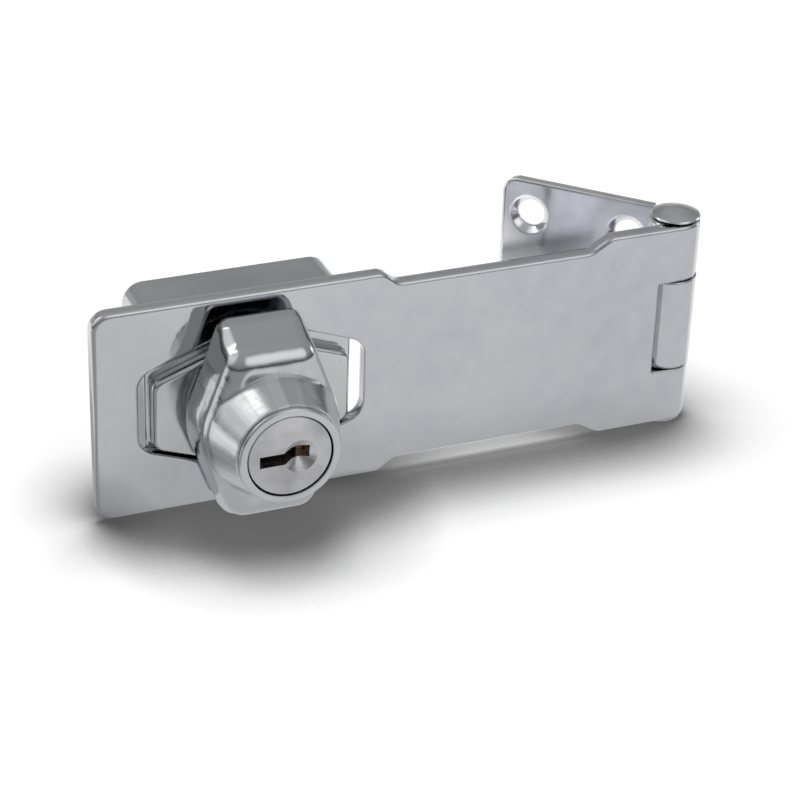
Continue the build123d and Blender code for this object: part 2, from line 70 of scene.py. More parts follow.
# %% Camera
LOOK_AT = Vector((0.02704, -0.01443, -0.00449))
CAMERA_DISTANCE = 0.42584
CAMERA_AZIMUTH = 22.81
CAMERA_ELEVATION = 29.44
CAMERA_ROLL = 1.99
CAMERA_LENS = 109.86


def away(azimuth, elevation):
    """The direction from the hasp to a thing on its left and above it, by two angles in degrees."""
    turn, rise = math.radians(azimuth), math.radians(elevation)
    level = math.cos(rise)
    return Vector((-math.sin(turn) * level, -math.cos(turn) * level, math.sin(rise)))


camera_data = bpy.data.cameras.new("camera")
camera_data.lens = CAMERA_LENS
camera_data.clip_start = 0.01
camera = bpy.data.objects.new("camera", camera_data)
bpy.context.scene.collection.objects.link(camera)
bpy.context.scene.camera = camera
backward = away(CAMERA_AZIMUTH, CAMERA_ELEVATION)
roll = Matrix.Rotation(math.radians(CAMERA_ROLL), 3, "Z")
aim = backward.to_track_quat("Z", "Y").to_matrix() @ roll
camera.matrix_world = Matrix.Translation(LOOK_AT + CAMERA_DISTANCE * backward) @ aim.to_4x4()
print("camera at", [round(value, 3) for value in camera.location])

# %% [markdown]
# A material here is a small network of nodes, and many of its parts come back in the next metal.
# A few short helpers keep the networks readable. The first ones add a single node and wire it:
# sums on numbers and on vectors, a change of range, a sum of shares, and noise. Whatever they are
# given may be a plain value or the output of another node.

# %% Helpers for single nodes
def add(tree, kind, inputs=None, **settings):
    """A new node in this tree, with its settings and its inputs by name or number."""
    made = tree.nodes.new("ShaderNode" + kind)
    for name, value in settings.items():
        setattr(made, name, value)
    for name, value in (inputs or {}).items():
        if isinstance(value, bpy.types.NodeSocket):
            tree.links.new(value, made.inputs[name])
        else:
            made.inputs[name].default_value = value
    return made


def calculate(tree, operation, *values):
    """The result of one sum on numbers."""
    return add(tree, "Math", dict(enumerate(values)), operation=operation).outputs[0]


def combine(tree, operation, *vectors):
    """The result of one sum on vectors: a number if it measures them, else a vector."""
    made = add(tree, "VectorMath", dict(enumerate(vectors)), operation=operation)
    measures = operation in ("DOT_PRODUCT", "LENGTH", "DISTANCE")
    return made.outputs["Value" if measures else "Vector"]


def remap(tree, value, start, end, low=0.0, high=1.0, **settings):
    """A number that goes from low to high while the value goes from start to end."""
    limits = {"From Min": start, "From Max": end, "To Min": low, "To Max": high}
    return add(tree, "MapRange", {"Value": value, **limits}, **settings).outputs[0]


def add_shares(tree, start, *changes):
    """The start plus a share of each mask, given as pairs of a mask and its share."""
    for mask, share in changes:
        start = calculate(tree, "MULTIPLY_ADD", mask, share, start)
    return start


def find_place(tree):
    """The place of a point on its own object, in metres."""
    return add(tree, "TexCoord").outputs["Object"]


def noise(tree, place, scale, detail):
    """The level of a noise at this place, with this many bumps to a unit."""
    inputs = {"Vector": place, "Scale": scale, "Detail": detail}
    return add(tree, "TexNoise", inputs).outputs["Fac"]


def noise_along(tree, distance, scale, detail):
    """The level of a noise that changes along one distance alone."""
    inputs = {"W": distance, "Scale": scale, "Detail": detail}
    return add(tree, "TexNoise", inputs, noise_dimensions="1D").outputs["Fac"]


print("the helpers for single nodes are ready")

# %% [markdown]
# An effect that several metals share, such as scratches, is a node group with named inputs, built
# once and placed in each material with its own values. These helpers open and place such a group,
# stretch the coordinates that it reads, and fill a colour ramp.

# %% Helpers for groups, stretching and ramps
def start_group(name, inputs, outputs):
    """A node group whose inputs are numbers with a first value, and the nodes at its two ends."""
    group = bpy.data.node_groups.new(name, "ShaderNodeTree")
    for label, value in inputs.items():
        socket = group.interface.new_socket(label, in_out="INPUT", socket_type="NodeSocketFloat")
        socket.default_value = value
    for label in outputs:
        group.interface.new_socket(label, in_out="OUTPUT", socket_type="NodeSocketFloat")
    first = group.nodes.new("NodeGroupInput").outputs
    last = group.nodes.new("NodeGroupOutput").inputs
    return group, first, last


def use(tree, group, **values):
    """The outputs of a group placed in this tree, with its inputs given by name."""
    made = tree.nodes.new("ShaderNodeGroup")
    made.node_tree = group
    for label, value in values.items():
        made.inputs[label.replace("_", " ")].default_value = value
    return made.outputs


def stretch(tree, place, *lengths):
    """The place, counted along each of its three directions in units of that length."""
    counts = [calculate(tree, "DIVIDE", 1, length) for length in lengths]
    scale = add(tree, "CombineXYZ", dict(enumerate(counts))).outputs[0]
    return combine(tree, "MULTIPLY", place, scale)


def set_steps(ramp, steps):
    """Gives a colour ramp these places and levels of grey, from first to last."""
    ramp.elements[0].position = steps[0][0]
    ramp.elements[1].position = steps[-1][0]
    for place, _ in steps[1:-1]:
        ramp.elements.new(place)
    for element, (_, level) in zip(ramp.elements, steps):
        element.color = (level, level, level, 1)


print("the helpers for groups and ramps are ready")

# %% [markdown]
# Plating is never a perfect mirror. The metal below it was polished on a wheel, which leaves
# broad, shallow waves that bend every reflection, and the plating bath adds a much finer orange
# peel. One group makes both from noise at two sizes, and a third, broader noise says where the
# surface is cloudy. It reads object coordinates, so the waves keep their real size in metres and
# turn with the knob.

# %% Group: plating ripple
PATCHES_PER_WAVE = 0.4
ripple, given, result = start_group(
    "plating_ripple",
    {"Wave Size": 0.006, "Peel Size": 0.0006, "Peel Share": 0.15},
    ["Height", "Patches"],
)
place = find_place(ripple)
per_wave = calculate(ripple, "DIVIDE", 1, given["Wave Size"])
per_peel = calculate(ripple, "DIVIDE", 1, given["Peel Size"])
per_patch = calculate(ripple, "MULTIPLY", per_wave, PATCHES_PER_WAVE)
wave = noise(ripple, place, per_wave, detail=1.5)
peel = noise(ripple, place, per_peel, detail=2)
patches = noise(ripple, place, per_patch, detail=4)
height = calculate(ripple, "MULTIPLY_ADD", peel, given["Peel Share"], wave)
ripple.links.new(height, result["Height"])
ripple.links.new(remap(ripple, patches, 0.35, 0.68), result["Patches"])
print("group", ripple.name, "has", len(ripple.nodes), "nodes")

# %% [markdown]
# Handling leaves hairline scratches that run every way. A scratch is a long thin contour, so the
# group stretches noise far along one direction and keeps only the values close to its middle.
# Three turned copies give three families of scratches, and a second, broad noise breaks them up.

# %% Group: hairline scratches
SCRATCH_TURNS = ((0.3, 0.5, 0.2), (1.2, -0.4, 1.0), (-0.6, 1.1, 2.2))
NOISE_MIDDLE = 0.5
HALF_LINE = 0.012
AREAS_PER_METRE = 150
scratches, given, result = start_group(
    "hairline_scratches",
    {"Length": 0.006, "Spacing": 0.0007, "Amount": 0.5},
    ["Mask"],
)
place = find_place(scratches)
total = 0.0
for turn in SCRATCH_TURNS:
    turned = add(scratches, "Mapping", {"Vector": place, "Rotation": turn}).outputs[0]
    stretched = stretch(scratches, turned, given["Length"], given["Spacing"], given["Spacing"])
    from_middle = calculate(scratches, "SUBTRACT", noise(scratches, stretched, 1, 0), NOISE_MIDDLE)
    line = remap(scratches, calculate(scratches, "ABSOLUTE", from_middle), HALF_LINE, 0.0)
    area = remap(scratches, noise(scratches, turned, AREAS_PER_METRE, 1), 0.52, 0.62)
    total = calculate(scratches, "MULTIPLY_ADD", line, area, total)
scratches.links.new(calculate(scratches, "MULTIPLY", total, given["Amount"]), result["Mask"])
print("group", scratches.name, "has", len(SCRATCH_TURNS), "families of scratches")

# %% [markdown]
# The knob and the box are zinc castings. Gas in the metal leaves pits the size of a grain of
# sand, and the plating doesn't fill them. Voronoi cells scatter points evenly, so the group uses
# the distance to the nearest one as a round pit, and drops most of the cells by their random
# colour.

# %% Group: casting pits
RAGGED_PER_METRE = 3000
RAGGED_SHARE = 0.06
PIT_CORE = 0.02
pits, given, result = start_group(
    "casting_pits",
    {"Spacing": 0.0022, "Radius": 0.1, "Share": 0.3},
    ["Mask"],
)
place = find_place(pits)
per_pit = calculate(pits, "DIVIDE", 1, given["Spacing"])
cells = add(pits, "TexVoronoi", {"Vector": place, "Scale": per_pit}).outputs
ragged = noise(pits, place, RAGGED_PER_METRE, detail=1)
reach = add_shares(pits, cells["Distance"], (ragged, RAGGED_SHARE))
dent = remap(pits, reach, given["Radius"], PIT_CORE)
chance = add(pits, "SeparateColor", {"Color": cells["Color"]}).outputs["Red"]
kept = calculate(pits, "LESS_THAN", chance, given["Share"])
pits.links.new(calculate(pits, "MULTIPLY", dent, kept), result["Mask"])
print("group", pits.name, "has", len(pits.nodes), "nodes")

# %% [markdown]
# Edges are touched most, so their plating is rubbed a little duller. The Bevel node gives the
# normal that a rounded edge would have. Where it parts from the real normal there is an edge, and
# noise makes the rubbed line uneven.

# %% Group: rubbed edges
RUB_WIDTH = 0.0004
edges, given, result = start_group("rubbed_edges", {"Width": RUB_WIDTH}, ["Mask"])
rounded = add(edges, "Bevel", {"Radius": given["Width"]}, samples=4).outputs["Normal"]
real = add(edges, "NewGeometry").outputs["Normal"]
edge = remap(edges, combine(edges, "DOT_PRODUCT", rounded, real), 0.995, 0.86)
uneven = remap(edges, noise(edges, find_place(edges), 900, detail=3), 0.3, 0.7)
edges.links.new(calculate(edges, "MULTIPLY", edge, uneven), result["Mask"])
print("group", edges.name, "rubs a line up to", 1000 * RUB_WIDTH, "mm wide")

# %% [markdown]
# Sheet steel is rolled, and the rollers leave a fine grain along the strap that still shows
# through thin plating. It is noise again, stretched a hundred times along the strap, on its own
# length.

# %% Group: rolled grain
grain, given, result = start_group(
    "rolled_grain",
    {"Length": 0.02, "Spacing": 0.00018},
    ["Height"],
)
lengths = (given["Length"], given["Length"], given["Spacing"])
stretched = stretch(grain, find_place(grain), *lengths)
grain.links.new(noise(grain, stretched, 1, detail=3), result["Height"])
print("group", grain.name, "runs along the strap")

# %% [markdown]
# The plug, the knob's cone and the washers were turned on a lathe, whose tool leaves rings. The
# group measures the distance from the knob's axis, which is the frame's own Y axis, and runs a
# noise along that distance alone, so that the rings are round and unevenly spaced.

# %% Group: turning marks
turning, given, result = start_group(
    "turning_marks",
    {"Spacing": 0.00022, "Break Up": 0.25},
    ["Height"],
)
place = find_place(turning)
radius = combine(turning, "LENGTH", combine(turning, "MULTIPLY", place, (1, 0, 1)))
count = calculate(turning, "DIVIDE", radius, given["Spacing"])
ring = noise_along(turning, count, 1, detail=2)
blotch = noise(turning, place, 500, detail=3)
height = calculate(turning, "MULTIPLY_ADD", blotch, given["Break Up"], ring)
turning.links.new(height, result["Height"])
print("group", turning.name, "is centred on the knob's axis")

# %% [markdown]
# Little light gets in where two parts nearly touch, so the colour there is darkened as painted
# shade. The Ambient Occlusion node says how open a point is. The group turns that into a mask for
# the painted shade in narrow gaps.

# %% Group: painted shade in gaps
GAP_REACH = 0.0009
gap_shade_group, given, result = start_group("painted_gap_shade", {"Reach": GAP_REACH}, ["Mask"])
openness = add(gap_shade_group, "AmbientOcclusion", {"Distance": given["Reach"]}, samples=6).outputs["AO"]
gap_shade_group.links.new(remap(gap_shade_group, openness, 0.62, 0.2), result["Mask"])
print("group", gap_shade_group.name, "reaches", 1000 * GAP_REACH, "mm unless a metal says otherwise")

# %% [markdown]
# Every metal below has the same frame: a metal's own colour with painted shade in narrow gaps, a
# roughness that changes over the surface, and a bump. One function builds that frame, and each
# finish passes it the masks and heights that make it different. Polishing rounds every edge a
# little, and the Bevel node shades it so without touching the solid. The Principled shader stays in
# the material, because the groups only put out masks and heights.

# %% One frame for all the metals
COLOUR_A, COLOUR_B, MIXED_COLOUR = 6, 7, 2
SLIGHT_EDGE = 0.0001


def start_material(name):
    """A new material and its tree, with nothing in it yet."""
    made = bpy.data.materials.new(name)
    made.use_nodes = True
    made.node_tree.nodes.clear()
    return made, made.node_tree


def blend_colour(tree, share, base, other):
    """Base where the share is 0 and the other colour where it is 1."""
    inputs = {0: share, COLOUR_A: base, COLOUR_B: other}
    return add(tree, "Mix", inputs, data_type="RGBA").outputs[MIXED_COLOUR]


def finish_metal(tree, colour, roughness, height, depth, edge_radius=SLIGHT_EDGE):
    """Puts the metal shader on the tree, with its bump's depth and its edges' radius in metres."""
    soft = add(tree, "Bevel", {"Radius": edge_radius}, samples=8).outputs["Normal"]
    relief = {"Height": height, "Distance": depth, "Strength": 1, "Normal": soft}
    bump = add(tree, "Bump", relief).outputs[0]
    metal = add(tree, "BsdfPrincipled", {
        "Base Color": colour, "Metallic": 1, "Roughness": roughness, "Normal": bump,
    })
    add(tree, "OutputMaterial", {"Surface": metal.outputs[0]})


def dress(material, *names):
    """Gives CAD nodes this material in every slot that they have."""
    for name in names:
        slots = nodes[name].data.materials
        if not slots:
            slots.append(material)
        for index in range(len(slots)):
            slots[index] = material
    print(material.name, "is on", ", ".join(names))


print("shaded edges are", 1000 * SLIGHT_EDGE, "mm round unless a metal says otherwise")

# %% [markdown]
# The box, the sleeve and the knob are polished zinc castings under decorative chrome. Chrome is a
# cool, fairly dark metal, and it looks bright only because it mirrors bright things. Its waves
# are broad and its pits small and dark, and the rinse left a faint, paler bloom in patches. This
# cell dresses the box and the sleeve.

# %% Finish: cast chrome
CHROME = (0.58, 0.59, 0.605, 1)
BLOOM = (0.70, 0.725, 0.72, 1)
BLOOM_SHARE = 0.6
PIT_GREY = (0.12, 0.125, 0.13, 1)
# The near-black below is painted shade, which every metal takes in narrow gaps.
GAP_SHADE = (0.015, 0.016, 0.017, 1)


def make_cast_chrome(name, base_roughness, wave_size, wave_depth):
    """Chrome on a polished casting, smoother or duller by its roughness."""
    made, tree = start_material(name)
    wave = use(tree, ripple, Wave_Size=wave_size, Peel_Size=0.0008, Peel_Share=0.04)
    hair = use(tree, scratches, Length=0.005, Spacing=0.0008, Amount=0.35)["Mask"]
    pit = use(tree, pits, Spacing=0.0026, Radius=0.075, Share=0.3)["Mask"]
    rub = use(tree, edges, Width=RUB_WIDTH)["Mask"]
    gap_shade_mask = use(tree, gap_shade_group, Reach=0.0008)["Mask"]
    cloudy = wave["Patches"]
    bloom = calculate(tree, "MULTIPLY", cloudy, BLOOM_SHARE)
    bloomed = blend_colour(tree, bloom, CHROME, BLOOM)
    pitted = blend_colour(tree, pit, bloomed, PIT_GREY)
    # Painted shade darkens the colour in narrow gaps.
    colour = blend_colour(tree, gap_shade_mask, pitted, GAP_SHADE)
    roughness = add_shares(tree, base_roughness, (cloudy, 0.05), (rub, 0.08), (hair, 0.12))
    height = add_shares(tree, wave["Height"], (pit, -0.5), (hair, -0.02))
    finish_metal(tree, colour, roughness, height, wave_depth, edge_radius=0.0004)
    return made


box_chrome = make_cast_chrome(
    "cast_chrome_box", base_roughness=0.14, wave_size=0.006, wave_depth=0.0001,
)
sleeve_chrome = make_cast_chrome(
    "cast_chrome_sleeve", base_roughness=0.16, wave_size=0.004, wave_depth=0.00005,
)
dress(box_chrome, "base_housing")
dress(sleeve_chrome, "cylinder_sleeve")

# %% [markdown]
# On the knob the cone was turned after casting, so it is lighter and softer than the polished
# wings. The change could be a second material on some faces, but the CAD mesh stays as it is, so
# one material tells the cone by its place: in front of the wings. Light and dark wedges that run
# from the cone's foot to its rim are painted reflections, made by noise along the angle around the
# knob's axis. The knob is polished longest, so its edges are shaded roundest.

# %% Finish: knob with a turned cone
CONE_START = -0.0262
CONE_BLEND = 0.0006
CONE_CHROME = (0.76, 0.765, 0.775, 1)
# The darker grey below is a painted reflection, laid on the cone in wedges.
CONE_PAINTED_DARK_REFLECTION = (0.56, 0.57, 0.59, 1)
REFLECTION_WEDGES_PER_RADIAN = 4
WING_ROUGHNESS = 0.08
knob_chrome, tree = start_material("knob_chrome")
wave = use(tree, ripple, Wave_Size=0.0035, Peel_Size=0.0007, Peel_Share=0.08)
ring_marks = use(tree, turning, Spacing=0.00022, Break_Up=0.35)["Height"]
hair = use(tree, scratches, Length=0.005, Spacing=0.0008, Amount=0.45)["Mask"]
pit = use(tree, pits, Spacing=0.0024, Radius=0.09, Share=0.35)["Mask"]
rub = use(tree, edges, Width=RUB_WIDTH)["Mask"]
gap_shade_mask = use(tree, gap_shade_group, Reach=0.0008)["Mask"]
cloudy = wave["Patches"]
place = add(tree, "SeparateXYZ", {"Vector": find_place(tree)}).outputs
on_cone = remap(tree, place["Y"], CONE_START, CONE_START - CONE_BLEND)
around = calculate(tree, "ARCTAN2", place["X"], place["Z"])
# Painted reflections: dark wedges around the cone's axis, from noise along the angle.
painted_reflection_wedges = remap(tree, noise_along(tree, around, REFLECTION_WEDGES_PER_RADIAN, detail=5), 0.40, 0.66)
turned = blend_colour(tree, painted_reflection_wedges, CONE_CHROME, CONE_PAINTED_DARK_REFLECTION)
metal = blend_colour(tree, on_cone, CHROME, turned)
pitted = blend_colour(tree, pit, metal, PIT_GREY)
# Painted shade darkens the colour in narrow gaps.
colour = blend_colour(tree, gap_shade_mask, pitted, GAP_SHADE)
turned_roughness = add_shares(tree, WING_ROUGHNESS, (on_cone, 0.13))
roughness = add_shares(tree, turned_roughness, (cloudy, 0.07), (rub, 0.08), (hair, 0.12))
rings = calculate(tree, "MULTIPLY", ring_marks, on_cone)
height = add_shares(tree, wave["Height"], (rings, 0.08), (pit, -0.5), (hair, -0.02))
finish_metal(tree, colour, roughness, height, depth=0.0001, edge_radius=0.0011)
dress(knob_chrome, "knob_body")

# %% [markdown]
# The strap and the leaf are stamped steel with thinner, bluish plating straight on the rolled
# sheet. It mirrors the knob sharply, but its colour is cloudy, and the rolled grain and the
# hairlines show when light grazes it. Stamping rolled its edges over, so they are shaded rounder
# than the box's. The leaf's flat is painted lighter than the strap, as painted light that stands
# in for brighter reflections, and its knuckle round the pin keeps the strap's colour.

# %% Finish: plated sheet
SHEET = (0.66, 0.66, 0.685, 1)
# The leaf's lighter tone below is painted light that brightens its reflections.
LEAF_SHEET_PAINTED_LIGHTER = (0.88, 0.88, 0.90, 1)
BLUE_TINT = (0.50, 0.52, 0.57, 1)
MOTTLES_PER_METRE = 260
HINGE_AXIS = (0.08095, -0.00985, 0)
CURL_END, FLAT_START = 0.0055, 0.0075


def make_plated_sheet(name, tone, base_roughness):
    """Plating on rolled sheet, duller by its roughness, with this colour on the flat away from the
    pin.
    """
    made, tree = start_material(name)
    wave = use(tree, ripple, Wave_Size=0.02, Peel_Size=0.0009, Peel_Share=0.03)
    rolled = use(tree, grain, Length=0.02, Spacing=0.0002)["Height"]
    hair = use(tree, scratches, Length=0.009, Spacing=0.0009, Amount=0.5)["Mask"]
    rub = use(tree, edges, Width=RUB_WIDTH)["Mask"]
    gap_shade_mask = use(tree, gap_shade_group, Reach=0.0006)["Mask"]
    cloudy = wave["Patches"]
    place = find_place(tree)
    from_pin = combine(tree, "SUBTRACT", place, HINGE_AXIS)
    reach = combine(tree, "LENGTH", combine(tree, "MULTIPLY", from_pin, (1, 1, 0)))
    # On the leaf the flat away from the pin takes the lighter tone, which is painted light.
    flat = remap(tree, reach, CURL_END, FLAT_START)
    plated = blend_colour(tree, flat, SHEET, tone)
    mottle = noise(tree, place, MOTTLES_PER_METRE, detail=5)
    tinted = blend_colour(tree, calculate(tree, "MULTIPLY", mottle, cloudy), plated, BLUE_TINT)
    # Painted shade darkens the colour in narrow gaps.
    colour = blend_colour(tree, gap_shade_mask, tinted, GAP_SHADE)
    roughness = add_shares(tree, base_roughness, (cloudy, 0.03), (rub, 0.03), (hair, 0.1))
    height = add_shares(tree, wave["Height"], (rolled, 0.02), (hair, -0.01))
    finish_metal(tree, colour, roughness, height, depth=0.00009, edge_radius=0.0008)
    return made


dress(make_plated_sheet("plated_sheet", SHEET, base_roughness=0.04), "strap")
dress(make_plated_sheet("plated_sheet_leaf_painted_lighter", LEAF_SHEET_PAINTED_LIGHTER, base_roughness=0.06), "hinge_leaf")

# %% [markdown]
# The plug's face is nickel plated and tumbled, so it is satin: a soft light grey with faint rings
# and small marks that the key has left. It is the calm centre of a very shiny knob.

# %% Finish: satin nickel
NICKEL = (0.66, 0.66, 0.68, 1)
NICKEL_PATCH_SHARE = 0.38
NICKEL_ROUGHNESS = 0.24
satin, tree = start_material("satin_nickel")
wave = use(tree, ripple, Wave_Size=0.0025, Peel_Size=0.0005, Peel_Share=0.25)
ring_marks = use(tree, turning, Spacing=0.00025, Break_Up=0.5)["Height"]
hair = use(tree, scratches, Length=0.003, Spacing=0.0006, Amount=0.9)["Mask"]
gap_shade_mask = use(tree, gap_shade_group, Reach=0.0005)["Mask"]
cloudy = wave["Patches"]
patch_share = calculate(tree, "MULTIPLY", cloudy, NICKEL_PATCH_SHARE)
patchy = blend_colour(tree, patch_share, NICKEL, PIT_GREY)
# Painted shade darkens the colour in narrow gaps.
colour = blend_colour(tree, gap_shade_mask, patchy, GAP_SHADE)
roughness = add_shares(tree, NICKEL_ROUGHNESS, (cloudy, 0.08), (hair, 0.1))
height = add_shares(tree, wave["Height"], (ring_marks, 0.08), (hair, -0.1))
finish_metal(tree, colour, roughness, height, depth=0.00008)
dress(satin, "lock_plug")

# %% [markdown]
# The hinge pin is turned from bar and plated, and its rings would be round its own axis, so it
# gets plain waves, hairlines and rubbed edges. The hidden rings and the bolt are plain
# zinc-plated steel.

# %% Finish: plated bar and plain steel
BAR = (0.68, 0.685, 0.70, 1)
ZINC = (0.42, 0.43, 0.45, 1)
SPRING = (0.28, 0.28, 0.29, 1)
STEEL_PATCH_SHARE = 0.4
STEEL_RUB_WIDTH = 0.0003


def make_steel(name, tone, base_roughness, mark_share):
    """Turned steel of this colour and roughness, with more or fewer tool marks."""
    made, tree = start_material(name)
    wave = use(tree, ripple, Wave_Size=0.0022, Peel_Size=0.0005, Peel_Share=0.1)
    marks = use(tree, turning, Spacing=0.0003, Break_Up=0.3)["Height"]
    hair = use(tree, scratches, Length=0.004, Spacing=0.0006, Amount=0.6)["Mask"]
    rub = use(tree, edges, Width=STEEL_RUB_WIDTH)["Mask"]
    gap_shade_mask = use(tree, gap_shade_group, Reach=0.0008)["Mask"]
    cloudy = wave["Patches"]
    patch_share = calculate(tree, "MULTIPLY", cloudy, STEEL_PATCH_SHARE)
    patchy = blend_colour(tree, patch_share, tone, PIT_GREY)
    # Painted shade darkens the colour in narrow gaps.
    colour = blend_colour(tree, gap_shade_mask, patchy, GAP_SHADE)
    roughness = add_shares(tree, base_roughness, (cloudy, 0.1), (rub, -0.05))
    height = add_shares(tree, wave["Height"], (marks, mark_share), (hair, -0.05))
    finish_metal(tree, colour, roughness, height, depth=0.00006)
    return made


plated_bar = make_steel("plated_bar", BAR, base_roughness=0.1, mark_share=0.0)
dress(plated_bar, "hinge_pin")
zinc_steel = make_steel("zinc_steel", ZINC, base_roughness=0.26, mark_share=0.2)
dress(zinc_steel, "locking_bolt", "friction_washer", "stop_washer", "cylinder_pin")
spring_steel = make_steel("spring_steel", SPRING, base_roughness=0.2, mark_share=0.1)
dress(spring_steel, "wafer_springs", "plug_clip", "retaining_ring")

# %% [markdown]
# The wafers are blanked from brass sheet. Only the ends of the first ones show in the keyway,
# warm brown against the black inside, where handling oil and key dust have darkened them.

# %% Finish: wafer brass
BRASS = (0.46, 0.29, 0.15, 1)
TARNISH = (0.10, 0.055, 0.03, 1)
TARNISH_SHARE = 0.7
BRASS_ROUGHNESS = 0.28
brass, tree = start_material("wafer_brass")
wave = use(tree, ripple, Wave_Size=0.0012, Peel_Size=0.0003, Peel_Share=0.3)
hair = use(tree, scratches, Length=0.002, Spacing=0.0004, Amount=0.8)["Mask"]
gap_shade_mask = use(tree, gap_shade_group, Reach=0.0006)["Mask"]
cloudy = wave["Patches"]
tarnished = blend_colour(tree, calculate(tree, "MULTIPLY", cloudy, TARNISH_SHARE), BRASS, TARNISH)
# Painted shade darkens the colour in narrow gaps.
colour = blend_colour(tree, gap_shade_mask, tarnished, GAP_SHADE)
roughness = add_shares(tree, BRASS_ROUGHNESS, (cloudy, 0.2))
height = add_shares(tree, wave["Height"], (hair, -0.1))
finish_metal(tree, colour, roughness, height, depth=0.00004)
dress(brass, *[name for name in nodes if name.startswith("wafer_") and name != "wafer_springs"])

# %% [markdown]
# The hasp stands on a large plain floor, a hair below its lowest point, so that nothing cuts into
# it. The floor is a separate object of the scene and no piece of the hasp.

# %% Floor
FLOOR_SIZE = 3.0
FLOOR_CLEARANCE = 0.0001
floor_height = cad_low.z - FLOOR_CLEARANCE
floor_mesh = bpy.data.meshes.new("floor")
half = FLOOR_SIZE / 2
corners = [(-half, -half, 0), (half, -half, 0), (half, half, 0), (-half, half, 0)]
floor_mesh.from_pydata(corners, [], [(0, 1, 2, 3)])
floor = bpy.data.objects.new("floor", floor_mesh)
floor.location.z = floor_height
bpy.context.scene.collection.objects.link(floor)
print("floor at", round(1000 * floor_height, 2), "mm")

# %% [markdown]
# Every upright face of the hasp mirrors the floor, so the floor's level decides how bright the
# strap is. A photographer lays grey card on the table for this, where only the metal sees it.
# Here the floor's mirrored level falls a little towards the strap and is full again below the
# box. Round patches of card dim one reflection each: in the slot, on the knob, on the box and on
# the strap's end. A bright patch behind the strap lifts the leaf, and a dark corner to the front
# left gives the knob's side its dark half. A step is a place from front to back and a level. A
# card is its middle, the radius where it is full, the radius where it ends, and the change that
# it makes.

# %% Floor as the metal sees it
FLOOR_STEPS = ((-0.10, 0.76), (-0.045, 0.70), (-0.02, 0.70), (-0.014, 0.68), (-0.003, 1.0))
FLOOR_CARDS = {
    "slot": ((-0.032, 0.018, 0), 0.010, 0.040, 0.32),
    "knob": ((-0.040, -0.018, 0), 0.008, 0.024, 0.42),
    "box": ((0.017, -0.007, 0), 0.004, 0.012, 0.5),
    "strap": ((-0.016, -0.072, 0), 0.015, 0.05, 0.88),
}
LEAF_CARD = ((0.044, -0.001, 0), 0.012, 0.028, 0.8)
LEAF_CARD_FRONT = (-0.014, -0.011)
FRONT_LEFT = (-0.922, -0.388, 0)
FRONT_LEFT_LEVEL = 0.35
CORNER_SIDE = (0.044, 0.056)
CORNER_FRONT = (-0.008, -0.03)
floor_white, tree = start_material("floor_white")
spot = find_place(tree)
depth = add(tree, "SeparateXYZ", {"Vector": spot}).outputs["Y"]
front = FLOOR_STEPS[0][0]
levels = add(tree, "ValToRGB", {"Fac": remap(tree, depth, front, 0.0)})
set_steps(levels.color_ramp, [(1 - y / front, level) for y, level in FLOOR_STEPS])
left = remap(tree, combine(tree, "DOT_PRODUCT", spot, FRONT_LEFT), *CORNER_SIDE)
corner = calculate(tree, "MULTIPLY", left, remap(tree, depth, *CORNER_FRONT))
dimmed = calculate(tree, "MULTIPLY_ADD", corner, FRONT_LEFT_LEVEL - 1, 1)
mirrored_level = calculate(tree, "MULTIPLY", levels.outputs["Color"], dimmed)
for middle, inner, outer, change in FLOOR_CARDS.values():
    reach = combine(tree, "DISTANCE", spot, middle)
    card = remap(tree, reach, inner, outer, low=change, high=1.0)
    mirrored_level = calculate(tree, "MULTIPLY", mirrored_level, card)
middle, inner, outer, lift = LEAF_CARD
near = remap(tree, combine(tree, "DISTANCE", spot, middle), inner, outer, low=lift, high=0.0)
behind = remap(tree, depth, *LEAF_CARD_FRONT)
lifted = calculate(tree, "MULTIPLY_ADD", near, behind, 1)
mirrored_level = calculate(tree, "MULTIPLY", mirrored_level, lifted)
print("the metal sees", len(FLOOR_STEPS), "steps and", len(FLOOR_CARDS) + 1, "patches of card")

# %% [markdown]
# The camera must see white with a soft shadow on it. So the floor is a plain diffuse white, mixed
# with a glow that only some rays see: a faint one for the camera, and a strong one, with the
# levels of the last cell, for glossy and transmission rays. The Ambient Occlusion node adds the
# contact shade close to the hasp, which a broad lamp alone would wash out. The underside is
# clear, so that the hasp can be looked at from below.

# %% Floor as the camera sees it
FLOOR_WHITE = (0.95, 0.95, 0.95, 1)
CONTACT_GREY = (0.10, 0.10, 0.10, 1)
CONTACT_REACH = 0.024
SEEN_GLOW = 0.15
MIRRORED_GLOW = 0.85
ray = add(tree, "LightPath").outputs
by_metal = calculate(tree, "MAXIMUM", ray["Is Glossy Ray"], ray["Is Transmission Ray"])
by_camera = calculate(tree, "MULTIPLY", ray["Is Camera Ray"], SEEN_GLOW)
share = calculate(tree, "MULTIPLY_ADD", by_metal, MIRRORED_GLOW, by_camera)
nearby = add(tree, "AmbientOcclusion", {"Distance": CONTACT_REACH}, samples=16).outputs["AO"]
openness = remap(tree, nearby, 0.58, 0.98)
camera_level = calculate(tree, "MULTIPLY", ray["Is Camera Ray"], openness)
strength = calculate(tree, "MAXIMUM", mirrored_level, camera_level)
shaded_white = blend_colour(tree, openness, CONTACT_GREY, FLOOR_WHITE)
dull = add(tree, "BsdfDiffuse", {"Color": shaded_white}).outputs[0]
glow = add(tree, "Emission", {"Strength": strength}).outputs[0]
face = add(tree, "MixShader", {0: share, 1: dull, 2: glow}).outputs[0]
clear = add(tree, "BsdfTransparent").outputs[0]
below = add(tree, "NewGeometry").outputs["Backfacing"]
both = add(tree, "MixShader", {0: below, 1: face, 2: clear}).outputs[0]
add(tree, "OutputMaterial", {"Surface": both})
floor_mesh.materials.append(floor_white)
print("floor material has", len(tree.nodes), "nodes")

